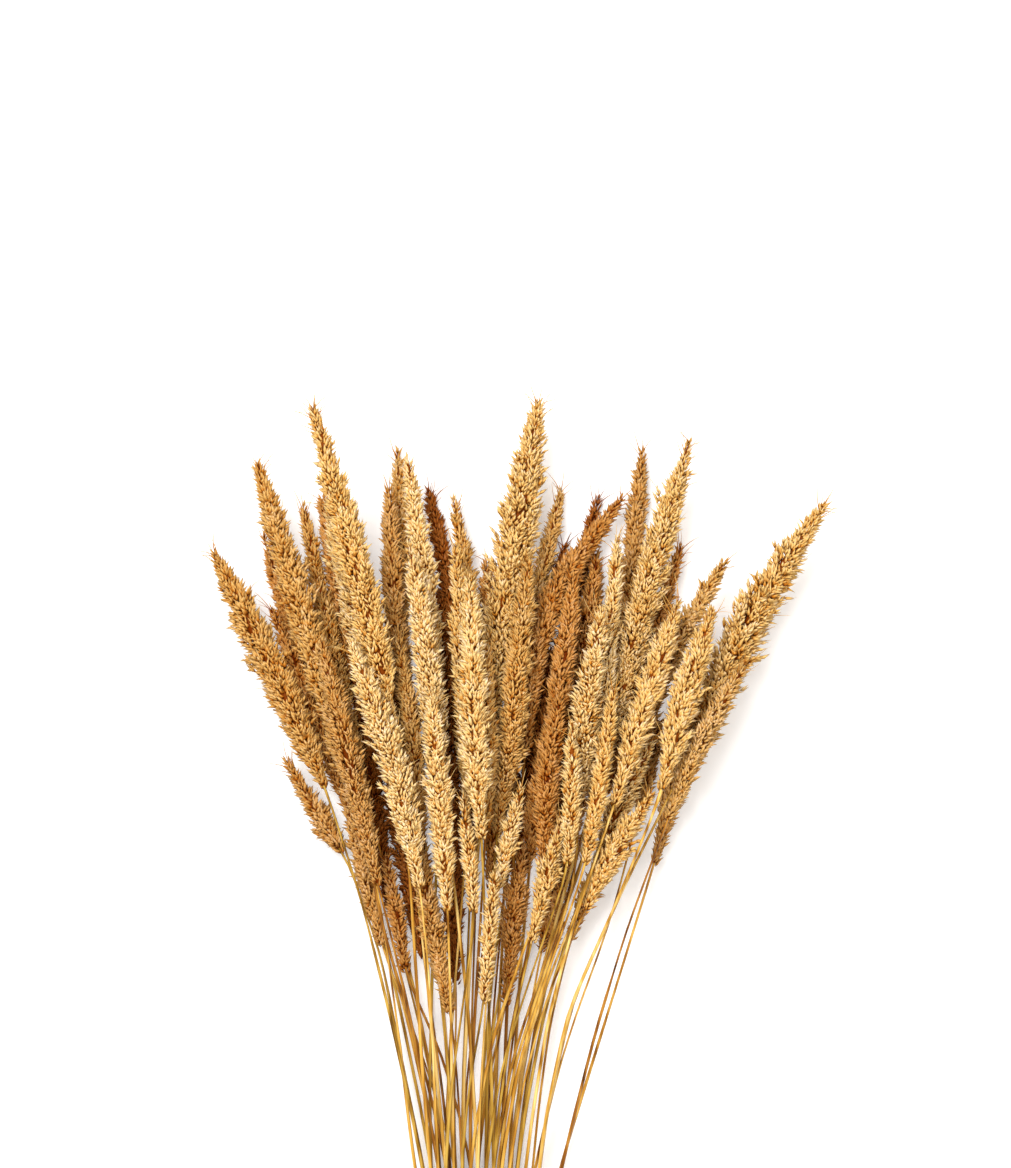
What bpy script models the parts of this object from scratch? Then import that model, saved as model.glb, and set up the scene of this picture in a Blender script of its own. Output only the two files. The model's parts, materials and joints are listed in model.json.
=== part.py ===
# A tied bundle of dried plume grass that lies on its side, its heads fanned out.
# X runs across the fan, Y from the cut ends to the tips, and Z is up.
# The origin ends up in the middle of the bundle's box, at the surface that it lies on.

import math
import random

import bmesh
import bpy
import numpy as np
from mathutils import Vector

mm = 0.001

# heights along the bundle, counted from the cut ends
tie_height = 125 * mm
list_zero = 325 * mm
level_step = 5 * mm

# stems
stem_sides = 5
stem_foot_radius = 1.05 * mm
stem_neck_radius = 0.75 * mm
stem_pieces = 7
stem_pitch = 2.6 * mm
foot_flare = 1.2
fan_spread = 3.1
fan_shift = -5.3 * mm
knee_height = 0.45
knee_bow = 0.65
left_knee_bow = 0.85
left_side = -45  # heads whose foot is further left than this have the left knee
climb_share = 0.45

# heads: the share of the length from the tip, and the share of the full radius there;
# wide heads taper over a longer stretch
head_outline = (
    (0.0, 0.22), (0.03, 0.52), (0.08, 0.70), (0.2, 0.88), (0.35, 0.98),
    (0.5, 1.0), (0.75, 0.95), (0.9, 0.78), (1.0, 0.40),
)
wide_head_outline = (
    (0.0, 0.12), (0.04, 0.35), (0.1, 0.58), (0.2, 0.80), (0.35, 0.95),
    (0.5, 1.0), (0.75, 0.97), (0.9, 0.82), (1.0, 0.42),
)
wide_head = 18.5 * mm
fewest_rows = 4
scale_row = 11.5 * mm
core_share = 0.66
first_core_share = 0.5
scale_lift = 0.45
scale_shorter = 0.10
scale_up_down = 0.15
scale_aside = 0.08
lean_reach = 6 * mm

# how the stalks settle on each other
settle_rounds = 900
list_refresh = 16
list_reach = 3 * mm
settle_gap = 0.7 * mm
least_apart = 0.05 * mm
order_push = 0.8 * mm
side_share = 0.35
push_share = 0.6
plan_pull = 0.05
sink_step = 0.05 * mm
calm_until = 0.75
first_stiffness = 3000
last_stiffness = 40
tie_fade = 20 * mm
floor_gap = 0.08 * mm
heap_height = 50 * mm

# the tie, wound round the stems
tie_width = 12 * mm
tie_hold = 8 * mm
tie_wall = 1.8 * mm
tie_gap = 0.35 * mm
tie_sides = 24

seed = 11

# Colours of the straw, from the lightest heads at the front to the darkest behind.
straw_colours = {
    "pale": (0.72, 0.47, 0.19),
    "honey": (0.65, 0.40, 0.14),
    "gold": (0.56, 0.31, 0.095),
    "tan": (0.50, 0.28, 0.10),
    "brown": (0.33, 0.14, 0.042),
    "dark": (0.15, 0.047, 0.015),
}
straw_roughness = 0.6
twine_colour = (0.46, 0.32, 0.17)
twine_roughness = 0.85

# Each stalk: the tip, the middle and the foot of its head in plan, the full width of the
# head, how high the stalk lies in the heap, 0 for the lowest, and its colour. Millimetres,
# counted from the axis of the tie and from list_zero.
stalks = (
    ((-137, 306), (-113, 260), (-80, 186), 16, 2, "gold"),
    ((-116, 352), (-97, 290), (-61, 170), 18, 2, "gold"),
    ((-113, 314), (-104, 282), (-74, 189), 11, 1, "brown"),
    ((-110, 280), (-97, 250), (-70, 175), 12, 1, "brown"),
    ((-94, 332), (-84, 284), (-61, 184), 14, 1, "gold"),
    ((-87, 378), (-70, 319), (-47, 219), 19, 3, "honey"),
    ((-80, 330), (-66, 276), (-46, 206), 16, 3, "pale"),
    ((-68, 264), (-50, 214), (-33, 140), 18, 3, "pale"),
    ((-83, 264), (-71, 214), (-54, 139), 16, 2, "tan"),
    ((-45, 262), (-40, 224), (-32, 150), 13, 2, "gold"),
    ((-101, 204), (-89, 180), (-71, 154), 11, 1, "tan"),
    ((-72, 189), (-63, 149), (-53, 108), 11, 1, "tan"),
    ((-52, 154), (-46, 129), (-42, 96), 10, 1, "brown"),
    ((-35, 164), (-27, 116), (-18, 74), 14, 2, "tan"),
    ((-50, 340), (-48, 294), (-40, 189), 14, 1, "tan"),
    ((-46, 358), (-45, 324), (-42, 219), 10, 1, "gold"),
    ((-41, 356), (-34, 310), (-25, 214), 14, 2, "pale"),
    ((-70, 288), (-63, 214), (-49, 124), 15, 0, "dark"),
    ((-39, 310), (-31, 264), (-23, 189), 17, 3, "pale"),
    ((-28, 239), (-24, 184), (-20, 128), 15, 3, "pale"),
    ((-31, 341), (-18, 284), (-9, 144), 14, 0, "dark"),
    ((-18, 334), (-11, 299), (-5, 189), 10, 1, "gold"),
    ((-16, 312), (-14, 269), (-10, 174), 12, 2, "honey"),
    ((-9, 296), (-7, 239), (-4, 164), 16, 3, "pale"),
    ((-12, 189), (-9, 164), (-6, 126), 9.5, 3, "pale"),
    ((0, 259), (2, 214), (-1, 166), 14, 2, "gold"),
    ((26, 385), (15, 321), (0, 214), 22, 2, "honey"),
    ((21, 304), (14, 254), (4, 164), 16, 2, "gold"),
    ((-1, 304), (1, 250), (1, 134), 13, 1, "brown"),
    ((37, 341), (29, 299), (13, 179), 13, 1, "gold"),
    ((56, 335), (50, 312), (30, 219), 9, 0, "dark"),
    ((69, 334), (47, 308), (18, 204), 14, 1, "brown"),
    ((38, 311), (31, 279), (12, 174), 11, 0, "dark"),
    ((42, 297), (35, 254), (18, 144), 15, 1, "brown"),
    ((55, 304), (47, 259), (29, 144), 17, 1, "brown"),
    ((28, 259), (18, 214), (9, 144), 16, 0, "dark"),
    ((37, 234), (32, 204), (26, 146), 15, 1, "brown"),
    ((18, 192), (12, 172), (5, 140), 12, 3, "pale"),
    ((20, 162), (14, 132), (10, 92), 16, 1, "brown"),
    ((4, 150), (1, 122), (-2, 84), 9, 3, "pale"),
    ((38, 176), (30, 148), (21, 112), 13, 3, "honey"),
    ((14, 119), (11, 99), (9, 80), 8, 1, "brown"),
    ((38, 144), (35, 122), (33, 104), 9, 1, "brown"),
    ((65, 317), (61, 269), (48, 152), 13, 2, "pale"),
    ((57, 278), (50, 239), (40, 169), 17, 3, "pale"),
    ((42, 223), (41, 190), (39, 149), 12, 3, "pale"),
    ((62, 239), (57, 200), (48, 149), 11, 3, "honey"),
    ((78, 358), (73, 304), (57, 194), 13, 1, "tan"),
    ((101, 362), (85, 309), (57, 196), 18, 2, "honey"),
    ((98, 312), (86, 272), (58, 184), 12, 1, "brown"),
    ((119, 302), (99, 271), (66, 186), 13, 2, "gold"),
    ((95, 282), (79, 236), (61, 179), 15, 3, "honey"),
    ((84, 215), (69, 190), (52, 146), 14, 2, "pale"),
    ((85, 187), (69, 170), (47, 129), 14, 2, "honey"),
    ((72, 165), (55, 147), (41, 113), 12, 1, "tan"),
    ((112, 278), (96, 230), (85, 186), 17, 3, "honey"),
    ((168, 330), (137, 283), (95, 194), 20, 2, "honey"),
    ((146, 285), (109, 229), (83, 148), 12, 1, "tan"),
    ((128, 250), (110, 222), (88, 170), 11, 2, "gold"),
)

# Stems that stand away from the others: where they cross the height of list_zero, how
# high their knee is, and how much of the straight way to the head they keep there.
stray_stems = {
    56: (26 * mm, 0.30, 0.42),
    57: (26.5 * mm, 0.30, 0.42),
    58: (37.5 * mm, knee_height, 1.0),
    59: (37.5 * mm, 0.78, 0.93),
}


def clear_scene():
    for item in list(bpy.data.objects):
        bpy.data.objects.remove(item, do_unlink=True)


def make_collection(name):
    group = bpy.data.collections.new(name)
    bpy.context.scene.collection.children.link(group)
    return group


def make_material(name, colour, roughness):
    material = bpy.data.materials.new(name)
    material.use_nodes = True
    shader = material.node_tree.nodes["Principled BSDF"]
    shader.inputs["Base Color"].default_value = (*colour, 1)
    shader.inputs["Roughness"].default_value = roughness
    shader.inputs["Metallic"].default_value = 0
    return material


# A smooth line through a few knots, read at the given heights.
def smooth_through(knot_y, knot_value, y):
    slope = np.gradient(knot_value, knot_y)
    k = np.clip(np.searchsorted(knot_y, y) - 1, 0, len(knot_y) - 2)
    span = knot_y[k + 1] - knot_y[k]
    t = np.clip((y - knot_y[k]) / span, 0, 1)
    start = (2 * t ** 3 - 3 * t ** 2 + 1) * knot_value[k]
    end = (3 * t ** 2 - 2 * t ** 3) * knot_value[k + 1]
    lean = (t ** 3 - 2 * t ** 2 + t) * slope[k] + (t ** 3 - t ** 2) * slope[k + 1]
    return start + end + span * lean


# Places for the stems inside the tie: a honeycomb, filled from its middle outwards.
def honeycomb(count, pitch):
    reach = math.ceil(math.sqrt(count))
    spots = []
    for row in range(-reach, reach + 1):
        for column in range(-reach, reach + 1):
            x = (column + 0.5 * (row % 2)) * pitch
            z = row * pitch * math.sqrt(3) / 2
            spots.append((math.hypot(x, z), x, z))
    spots.sort()
    return [(x, z) for _, x, z in spots[:count]]


# How far a stalk leans across, from the tie to the foot of its head.
def fan_lean(number):
    x, y = stalks[number][2]
    return x * mm / (y * mm + list_zero - tie_height)


# The lowest stalks take the lowest rows, and each row runs across in the order of the fan.
# The second list says how far up the heap each stalk comes, from 0 to 1.
def share_out(spots):
    rows = {}
    for x, z in sorted(spots):
        rows.setdefault(round(z / mm, 2), []).append((x, z))
    heap = sorted(range(len(stalks)), key=lambda i: (stalks[i][4], -stalks[i][0][1]))
    places = [None] * len(stalks)
    first = 0
    for level in sorted(rows):
        row = rows[level]
        chosen = sorted(heap[first:first + len(row)], key=fan_lean)
        first += len(row)
        for i, spot in zip(chosen, row):
            places[i] = spot
    rank = np.zeros(len(stalks))
    rank[heap] = np.linspace(0, 1, len(heap))
    return places, rank


# The radius of a stem at a height, from its cut end to the foot of its head.
def stem_radius(height, foot_y):
    share = np.clip(height / foot_y, 0, 1)
    return stem_foot_radius + (stem_neck_radius - stem_foot_radius) * share


# The radius that a stalk fills at each height: its stem, then its head.
def filled_radius(stalk, y):
    tip, _, foot, width, _, _ = stalk
    tip_y = list_zero + tip[1] * mm
    foot_y = list_zero + foot[1] * mm
    share = (tip_y - y) / (tip_y - foot_y)
    outline = np.array(wide_head_outline if width * mm > wide_head else head_outline)
    head = width * mm / 2 * np.interp(share, outline[:, 0], outline[:, 1])
    stem = stem_radius(y, foot_y)
    return np.where(share <= 1, np.maximum(head, stem * (share > 0.5)), stem)


def tie_radius(places):
    return max(math.hypot(x, z) for x, z in places) + stem_foot_radius + tie_gap


# The lines that the stalks follow before they settle, all read at the same heights.
def first_lines(places, rank, y):
    neck_z = tie_radius(places) + tie_wall
    across = []
    up = []
    for i, (tip, middle, foot, width, _, _) in enumerate(stalks):
        x, z = places[i]
        bow = left_knee_bow if foot[0] < left_side else knee_bow
        usual = (x * fan_spread + fan_shift, knee_height, bow)
        cross, bend, bow = stray_stems.get(i + 1, usual)
        knee = cross + (foot[0] * mm - cross) * bend * bow
        lie = width * mm / 2 + rank[i] * heap_height
        climb = neck_z + z + (lie - neck_z - z) * climb_share
        knots = [
            (0, x * foot_flare, neck_z + z * foot_flare),
            (tie_height - tie_hold, x, neck_z + z),
            (tie_height + tie_hold, x, neck_z + z),
            (list_zero, cross, climb),
            (list_zero + foot[1] * mm * bend, knee, climb + (lie - climb) * bend),
            (list_zero + foot[1] * mm, foot[0] * mm, lie),
            (list_zero + middle[1] * mm, middle[0] * mm, lie),
            (list_zero + tip[1] * mm, tip[0] * mm, lie),
        ]
        knot_y, knot_x, knot_z = (np.array(part) for part in zip(*knots))
        across.append(smooth_through(knot_y, knot_x, y))
        up.append(smooth_through(knot_y, knot_z, y))
    return np.array(across), np.array(up)


# A matrix that spreads a push along a stalk, as a stiff stem does.
def spreader(count, stiffness):
    bend = np.diff(np.eye(count), 2, axis=0)
    return np.linalg.inv(np.eye(count) + stiffness * bend.T @ bend)


# The pairs of stalks that come near each other somewhere along the bundle.
def near_pairs(across, up, radius, reached):
    first, second = np.triu_indices(len(across), 1)
    sideways = np.abs(across[first] - across[second])
    upright = np.abs(up[first] - up[second])
    clear = np.maximum(sideways, upright) - radius[first] - radius[second]
    clear[~(reached[first] & reached[second])] = 1
    near = clear.min(axis=1) < list_reach
    return first[near], second[near]


# Neighbours push each other apart, mostly up and down, while the heap sinks to the surface.
# A push between two stalks is taken square to their shared direction.
def settle(across, up, radius, reached, rank, y):
    past_tie = np.clip(y - tie_height - tie_hold, 0, None)
    loose = 1 - np.exp(-(past_tie / tie_fade) ** 2)
    first_spread = spreader(len(y), first_stiffness)
    last_spread = spreader(len(y), last_stiffness)
    start = across.copy()
    for turn in range(settle_rounds):
        part = turn / settle_rounds
        if turn % list_refresh == 0:
            first, second = near_pairs(across, up, radius, reached)
            both = reached[first] & reached[second]
            order = np.sign(rank[second] - rank[first])[:, None]
            sign = np.zeros((len(across), len(first)))
            sign[first, np.arange(len(first))] = -1
            sign[second, np.arange(len(first))] = 1
        lean_x = np.gradient(across, level_step, axis=1)
        lean_z = np.gradient(up, level_step, axis=1)
        dx = across[second] - across[first]
        dz = up[second] - up[first]
        mx = (lean_x[first] + lean_x[second]) / 2
        mz = (lean_z[first] + lean_z[second]) / 2
        along = (dx * mx + dz * mz) ** 2 / (1 + mx ** 2 + mz ** 2)
        apart = np.sqrt(np.maximum(dx ** 2 + dz ** 2 - along, least_apart ** 2))
        deep = np.clip(radius[first] + radius[second] + settle_gap - apart, 0, None) * both
        dz = dz + order * order_push * np.exp(-np.abs(dz) / mm)
        flat = np.sqrt(dx ** 2 + dz ** 2) + least_apart
        push_x = sign @ (deep * dx / flat * side_share)
        push_z = sign @ (deep * dz / flat)
        calm = max(0, calm_until - part)
        push_x += (start - across) * plan_pull * calm
        push_z -= sink_step * calm * reached
        spread = first_spread if part < 0.5 else last_spread
        across += (push_x @ spread) * loose * push_share
        up += (push_z @ spread) * loose * push_share
        up = np.maximum(up, radius + floor_gap)
    return across, up


# A settled stalk's line, from which any point, section or ring of it is read.
class Line:
    def __init__(self, x, z, y):
        self.x = x
        self.z = z
        self.y = y

    def point(self, height):
        return Vector((np.interp(height, self.y, self.x), height, np.interp(height, self.y, self.z)))

    def ring_point(self, height, radius, angle):
        ahead = self.point(min(height + lean_reach, self.y[-1]))
        behind = self.point(max(height - lean_reach, 0))
        along = (ahead - behind).normalized()
        side = along.cross(Vector((0, 0, 1))).normalized()
        over = side.cross(along)
        return self.point(height) + side * (radius * math.cos(angle)) + over * (radius * math.sin(angle))


# Rings of the stem: its cut end, both sides of the tie, then evenly up to the head's foot.
def stem_rings(ring, foot_y):
    above_tie = tie_height + tie_hold
    heights = [0, tie_height - tie_hold]
    heights += [above_tie + piece * (foot_y - above_tie) / stem_pieces for piece in range(stem_pieces + 1)]
    return [ring(height, stem_radius(height, foot_y), 0) for height in heights]


# One stalk as one closed skin: the stem's rings run on into the head's core, and each
# lozenge between the core's staggered rings is drawn out to a point that leans upwards.
def stalk_mesh(name, stalk, line, draw):
    tip, _, foot, _, _, _ = stalk
    tip_y = list_zero + tip[1] * mm
    foot_y = list_zero + foot[1] * mm
    turn = 2 * math.pi / stem_sides
    start = draw.random()
    mesh = bmesh.new()

    def ring(height, radius, shift):
        angles = [(n + start + shift) * turn for n in range(stem_sides)]
        return [mesh.verts.new(line.ring_point(height, radius, angle)) for angle in angles]

    def face(*corners):
        mesh.faces.new(corners)

    stem = stem_rings(ring, foot_y)
    face(*stem[0])
    for low, high in zip(stem, stem[1:]):
        for n in range(stem_sides):
            m = (n + 1) % stem_sides
            face(low[n], low[m], high[m], high[n])

    slant = math.hypot(tip_y - foot_y, (tip[0] - foot[0]) * mm)
    rows = max(fewest_rows, round(slant / scale_row))
    spacing = (tip_y - foot_y) / (rows + 1)
    rings = [stem[-1]]
    for row in range(1, rows + 1):
        height = foot_y + row * spacing
        share = core_share if row > 1 else first_core_share
        rings.append(ring(height, filled_radius(stalk, height) * share, 0.5 * row))
    crown = mesh.verts.new(line.point(tip_y))
    for n in range(stem_sides):
        m = (n + 1) % stem_sides
        face(rings[0][n], rings[0][m], rings[1][n])
        face(rings[-2][m], rings[-1][m], rings[-1][n])
        face(rings[-1][n], rings[-1][m], crown)
    for row in range(1, rows):
        low, middle, high = rings[row - 1:row + 2]
        lift = scale_lift if row < rows - 1 else 0
        for n in range(stem_sides):
            m = (n + 1) % stem_sides
            height = foot_y + (row + 1 + lift + draw.uniform(-scale_up_down, scale_up_down)) * spacing
            radius = filled_radius(stalk, height) * (1 - draw.random() * scale_shorter)
            aside = draw.uniform(-scale_aside, scale_aside)
            angle = (m + start + 0.5 * (row - 1) + aside) * turn
            point = mesh.verts.new(line.ring_point(height, radius, angle))
            face(low[m], middle[m], point)
            face(middle[m], high[n], point)
            face(high[n], middle[n], point)
            face(middle[n], low[m], point)
    bmesh.ops.triangulate(mesh, faces=mesh.faces[:])
    bmesh.ops.recalc_face_normals(mesh, faces=mesh.faces[:])
    foot_place = line.point(0)
    bmesh.ops.translate(mesh, verts=mesh.verts[:], vec=-foot_place)
    data = bpy.data.meshes.new(name)
    mesh.to_mesh(data)
    mesh.free()
    return data, foot_place


# The tie: a faceted ring round the stems, one of its facets flat on the surface.
def make_tie(name, inner, group):
    half_facet = math.pi / tie_sides
    outer = inner + tie_wall
    corner = outer / math.cos(half_facet)
    mesh = bmesh.new()
    bmesh.ops.create_cone(mesh, segments=tie_sides, radius1=corner, radius2=corner, depth=tie_width)
    data = bpy.data.meshes.new(name)
    mesh.to_mesh(data)
    mesh.free()
    data.shade_smooth()
    data.set_sharp_from_angle(angle=4 * half_facet)
    data.materials.append(make_material(name, twine_colour, twine_roughness))
    tie = bpy.data.objects.new(name, data)
    tie.location = (0, tie_height, outer)
    tie.rotation_euler = (math.pi / 2, half_facet, 0)
    wall = tie.modifiers.new("wall", "SOLIDIFY")
    wall.thickness = tie_wall
    wall.offset = -1
    wall.use_even_offset = True
    group.objects.link(tie)
    return tie


def make_stalks(across, up, y, group):
    pieces = []
    for number, stalk in enumerate(stalks, 1):
        name = f"stalk_{number:02d}"
        line = Line(across[number - 1], up[number - 1], y)
        data, foot_place = stalk_mesh(name, stalk, line, random.Random(seed + number))
        colour = straw_colours[stalk[5]]
        data.materials.append(make_material(name, colour, straw_roughness))
        piece = bpy.data.objects.new(name, data)
        piece.location = foot_place
        group.objects.link(piece)
        pieces.append(piece)
    return pieces


# Moves the whole bundle so that the origin is in the middle of its box, at its lowest point.
def centre_on_origin(root, pieces):
    bpy.context.view_layer.update()
    corners = np.array([
        piece.matrix_world @ vertex.co for piece in pieces for vertex in piece.data.vertices
    ])
    low = corners.min(axis=0)
    high = corners.max(axis=0)
    root.location = (-(low[0] + high[0]) / 2, -(low[1] + high[1]) / 2, -low[2])


def main():
    clear_scene()
    group = make_collection("dried_plume_grass_bundle")
    places, rank = share_out(honeycomb(len(stalks), stem_pitch))
    tips = np.array([list_zero + stalk[0][1] * mm for stalk in stalks])
    y = np.arange(0, tips.max() + level_step, level_step)
    reached = y[None, :] <= tips[:, None]
    radius = np.array([filled_radius(stalk, y) for stalk in stalks]) * reached
    across, up = first_lines(places, rank, y)
    across, up = settle(across, up, radius, reached, rank, y)

    pieces = make_stalks(across, up, y, group)
    pieces.append(make_tie("tie", tie_radius(places), group))
    root = bpy.data.objects.new("bundle", None)
    group.objects.link(root)
    for piece in pieces:
        piece.parent = root
    centre_on_origin(root, pieces)


main()
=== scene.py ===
import json
import math
import random

import bmesh
import bpy
import numpy as np
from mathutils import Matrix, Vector

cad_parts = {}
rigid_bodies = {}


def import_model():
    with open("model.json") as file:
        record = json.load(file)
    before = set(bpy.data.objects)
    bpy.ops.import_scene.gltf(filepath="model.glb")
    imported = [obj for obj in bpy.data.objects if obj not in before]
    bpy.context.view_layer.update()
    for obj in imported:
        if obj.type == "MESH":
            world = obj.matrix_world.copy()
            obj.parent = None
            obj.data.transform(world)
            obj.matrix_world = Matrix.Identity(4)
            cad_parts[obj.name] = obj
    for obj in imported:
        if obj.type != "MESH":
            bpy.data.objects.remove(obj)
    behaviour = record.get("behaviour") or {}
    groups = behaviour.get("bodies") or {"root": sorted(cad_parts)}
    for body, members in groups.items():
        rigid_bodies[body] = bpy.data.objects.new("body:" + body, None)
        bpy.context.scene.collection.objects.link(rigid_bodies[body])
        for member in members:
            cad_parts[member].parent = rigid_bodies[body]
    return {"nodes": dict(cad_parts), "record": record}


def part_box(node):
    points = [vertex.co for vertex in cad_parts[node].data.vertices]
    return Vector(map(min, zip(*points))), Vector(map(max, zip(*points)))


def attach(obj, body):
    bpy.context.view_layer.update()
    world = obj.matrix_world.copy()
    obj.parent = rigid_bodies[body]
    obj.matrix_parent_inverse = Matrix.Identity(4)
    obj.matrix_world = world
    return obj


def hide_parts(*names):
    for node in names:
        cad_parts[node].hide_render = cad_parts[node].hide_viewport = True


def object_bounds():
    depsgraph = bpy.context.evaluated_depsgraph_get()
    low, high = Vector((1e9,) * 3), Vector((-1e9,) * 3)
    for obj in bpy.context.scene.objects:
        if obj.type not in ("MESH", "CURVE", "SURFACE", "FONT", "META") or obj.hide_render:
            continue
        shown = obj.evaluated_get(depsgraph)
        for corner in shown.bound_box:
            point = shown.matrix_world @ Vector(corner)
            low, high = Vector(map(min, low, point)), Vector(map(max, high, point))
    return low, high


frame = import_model()
cadLow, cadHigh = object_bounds()

mm = 0.001
# The paleness in u carries painted shade as well: darker deep in a head, in the hollows between lumps and
# on the head's core.
uvName = "OFBake"  # u is how pale the straw is there, v runs from root to point

# The photo's plan: the camera and the low stalks are placed by it.
photo = {
    "wide": 1011,
    "high": 1168,
    "pixel": 0.5 * mm,  # what a pixel covers on the bunch
    "axisPixel": 488,  # the column over the tie's axis
    "foot": 325 * mm,  # the lower edge, counted from the cut ends
}


# A small bench for building node trees: add a node, set it, plug values or sockets in.
class NodeBench:
    def __init__(self, tree, given=None):
        self.tree = tree
        self.given = given  # the inputs of the whole tree

    def plug(self, node, plugs):
        for name, value in plugs.items():
            if isinstance(value, bpy.types.NodeSocket):
                self.tree.links.new(value, node.inputs[name])
            else:
                node.inputs[name].default_value = value

    def add(self, kind, settings=None, plugs=None):
        node = self.tree.nodes.new(kind)
        for name, value in (settings or {}).items():
            setattr(node, name, value)
        self.plug(node, plugs or {})
        return node

    def math(self, operation, first, second=0.0, third=0.0):
        plugs = {0: first, 1: second, 2: third}
        return self.add("ShaderNodeMath", {"operation": operation}, plugs).outputs[0]

    def plus(self, first, second):
        return self.math("ADD", first, second)

    def times(self, first, second):
        return self.math("MULTIPLY", first, second)

    def timesPlus(self, first, second, third):
        return self.math("MULTIPLY_ADD", first, second, third)

    def vector(self, operation, first, second=(0, 0, 0)):
        node = self.add("ShaderNodeVectorMath", {"operation": operation}, {0: first, 1: second})
        return node.outputs["Vector"]

    def scaled(self, vector, amount):
        node = self.add("ShaderNodeVectorMath", {"operation": "SCALE"}, {0: vector, "Scale": amount})
        return node.outputs["Vector"]

    # The sum of some vectors, each with how far it goes.
    def mixed(self, *steps):
        total = None
        for vector, amount in steps:
            part = self.scaled(vector, amount)
            total = part if total is None else self.vector("ADD", total, part)
        return total

    def combined(self, x, y, z=0.0):
        return self.add("ShaderNodeCombineXYZ", {}, {0: x, 1: y, 2: z}).outputs[0]

    def compared(self, operation, first, second):
        node = self.add("FunctionNodeCompare", {"operation": operation}, {0: first, 1: second})
        return node.outputs[0]

    def position(self):
        return self.add("GeometryNodeInputPosition").outputs[0]

    def named(self, name, kind="FLOAT"):
        node = self.add("GeometryNodeInputNamedAttribute", {"data_type": kind}, {"Name": name})
        return node.outputs["Attribute"]

    def store(self, geometry, name, value, kind="FLOAT", domain="POINT"):
        settings = {"data_type": kind, "domain": domain}
        plugs = {"Geometry": geometry, "Name": name, "Value": value}
        return self.add("GeometryNodeStoreNamedAttribute", settings, plugs).outputs["Geometry"]

    def changed(self, kind, geometry, plugs=None):
        return self.add(kind, {}, {"Geometry": geometry, **(plugs or {})}).outputs["Geometry"]

    def joined(self, parts):
        node = self.add("GeometryNodeJoinGeometry")
        for part in parts:
            self.plug(node, {0: part})
        return node.outputs["Geometry"]


def newTree(name, sockets):
    tree = bpy.data.node_groups.new(name, "GeometryNodeTree")
    tree.interface.new_socket("Geometry", in_out="INPUT", socket_type="NodeSocketGeometry")
    for label, kind in sockets:
        tree.interface.new_socket(label, in_out="INPUT", socket_type="NodeSocket" + kind)
    tree.interface.new_socket("Geometry", in_out="OUTPUT", socket_type="NodeSocketGeometry")
    bench = NodeBench(tree, tree.nodes.new("NodeGroupInput").outputs)
    return tree, bench, tree.nodes.new("NodeGroupOutput")


# Runs a tree on a mesh and returns the plain mesh that comes out.
def runTree(tree, source, values):
    holder = bpy.data.objects.new("holder", source)
    bpy.context.scene.collection.objects.link(holder)
    modifier = holder.modifiers.new("grow", "NODES")
    modifier.node_group = tree
    items = [item for item in tree.interface.items_tree if item.in_out == "INPUT"]
    sockets = {item.name: item.identifier for item in items}
    for name, value in values.items():
        modifier[sockets[name]] = value
    graph = bpy.context.evaluated_depsgraph_get()
    made = bpy.data.meshes.new_from_object(holder.evaluated_get(graph), depsgraph=graph)
    bpy.data.objects.remove(holder)
    return made


def showPiece(name, mesh, node):
    piece = bpy.data.objects.new(name, mesh)
    bpy.context.scene.collection.objects.link(piece)
    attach(piece, "root")
    if node:
        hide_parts(node)


# How each stalk is read from the frame: cuts across it give its line and its stem's radius.
reading = {
    "firstCut": 0.2 * mm,
    "step": 4 * mm,
    "stemSides": 5,
    "smoothing": 10,
    "headStarts": 1.25,  # the head begins where the stalk is this much wider than its stem
    "tipLeftOut": 10 * mm,  # cuts this near the tip go through single scales, so the line runs on
    "tipAim": 6,  # cuts that give the direction in which it runs on
    "window": 2,  # cuts on each side that share the widest reach
    "reachSmoothing": 3,
    "tipReach": 0.10,
    "tipTaper": 26 * mm,  # the length at the tip over which the head narrows to that
    "tipRound": 0.7,  # under 1, so the tip bulges
}


def trianglesOf(node):
    mesh = frame["nodes"][node].data
    mesh.calc_loop_triangles()
    corners = np.zeros(len(mesh.vertices) * 3)
    mesh.vertices.foreach_get("co", corners)
    order = np.zeros(len(mesh.loop_triangles) * 3, int)
    mesh.loop_triangles.foreach_get("vertices", order)
    return corners.reshape(-1, 3)[order].reshape(-1, 3, 3)


# The middle and the area of a cut across a closed mesh at one height.
def cutAcross(triangles, height):
    under = triangles[:, :, 1] < height
    count = under.sum(axis=1)
    middle = np.zeros(2)
    area = 0.0
    for lone, side in ((1, 1.0), (2, -1.0)):
        group = triangles[count == lone]
        flags = under[count == lone]
        first = np.argmax(flags if lone == 1 else ~flags, axis=1)
        rows = np.arange(len(group))
        a, b, c = (group[rows, (first + k) % 3] for k in range(3))
        ends = []
        for other in (b, c):
            share = (height - a[:, 1]) / (other[:, 1] - a[:, 1])
            ends.append((a + (other - a) * share[:, None])[:, ::2])
        cross = (ends[0][:, 0] * ends[1][:, 1] - ends[0][:, 1] * ends[1][:, 0]) * side
        area += cross.sum() / 2
        middle += ((ends[0] + ends[1]) * cross[:, None]).sum(axis=0) / 6
    return middle / area, abs(area)


def smoothed(values, rounds):
    values = values.copy()
    for _ in range(rounds):
        values[1:-1] = (values[:-2] + 2 * values[1:-1] + values[2:]) / 4
    return values


# The envelope of a row of values: no dip in it is narrower than the window.
def closed(values, window):
    wide = np.pad(values, window, mode="edge")
    widest = np.array([wide[k:k + 2 * window + 1].max() for k in range(len(values))])
    wide = np.pad(widest, window, mode="edge")
    return np.array([wide[k:k + 2 * window + 1].min() for k in range(len(values))])


# Narrows a head's reach towards its tip.
def tapered(reach, heights):
    share = np.clip((heights[-1] - heights) / reading["tipTaper"], 0, 1)
    least = reading["tipReach"]
    return np.minimum(reach, reach.max() * (least + (1 - least) * share ** reading["tipRound"]))


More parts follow.
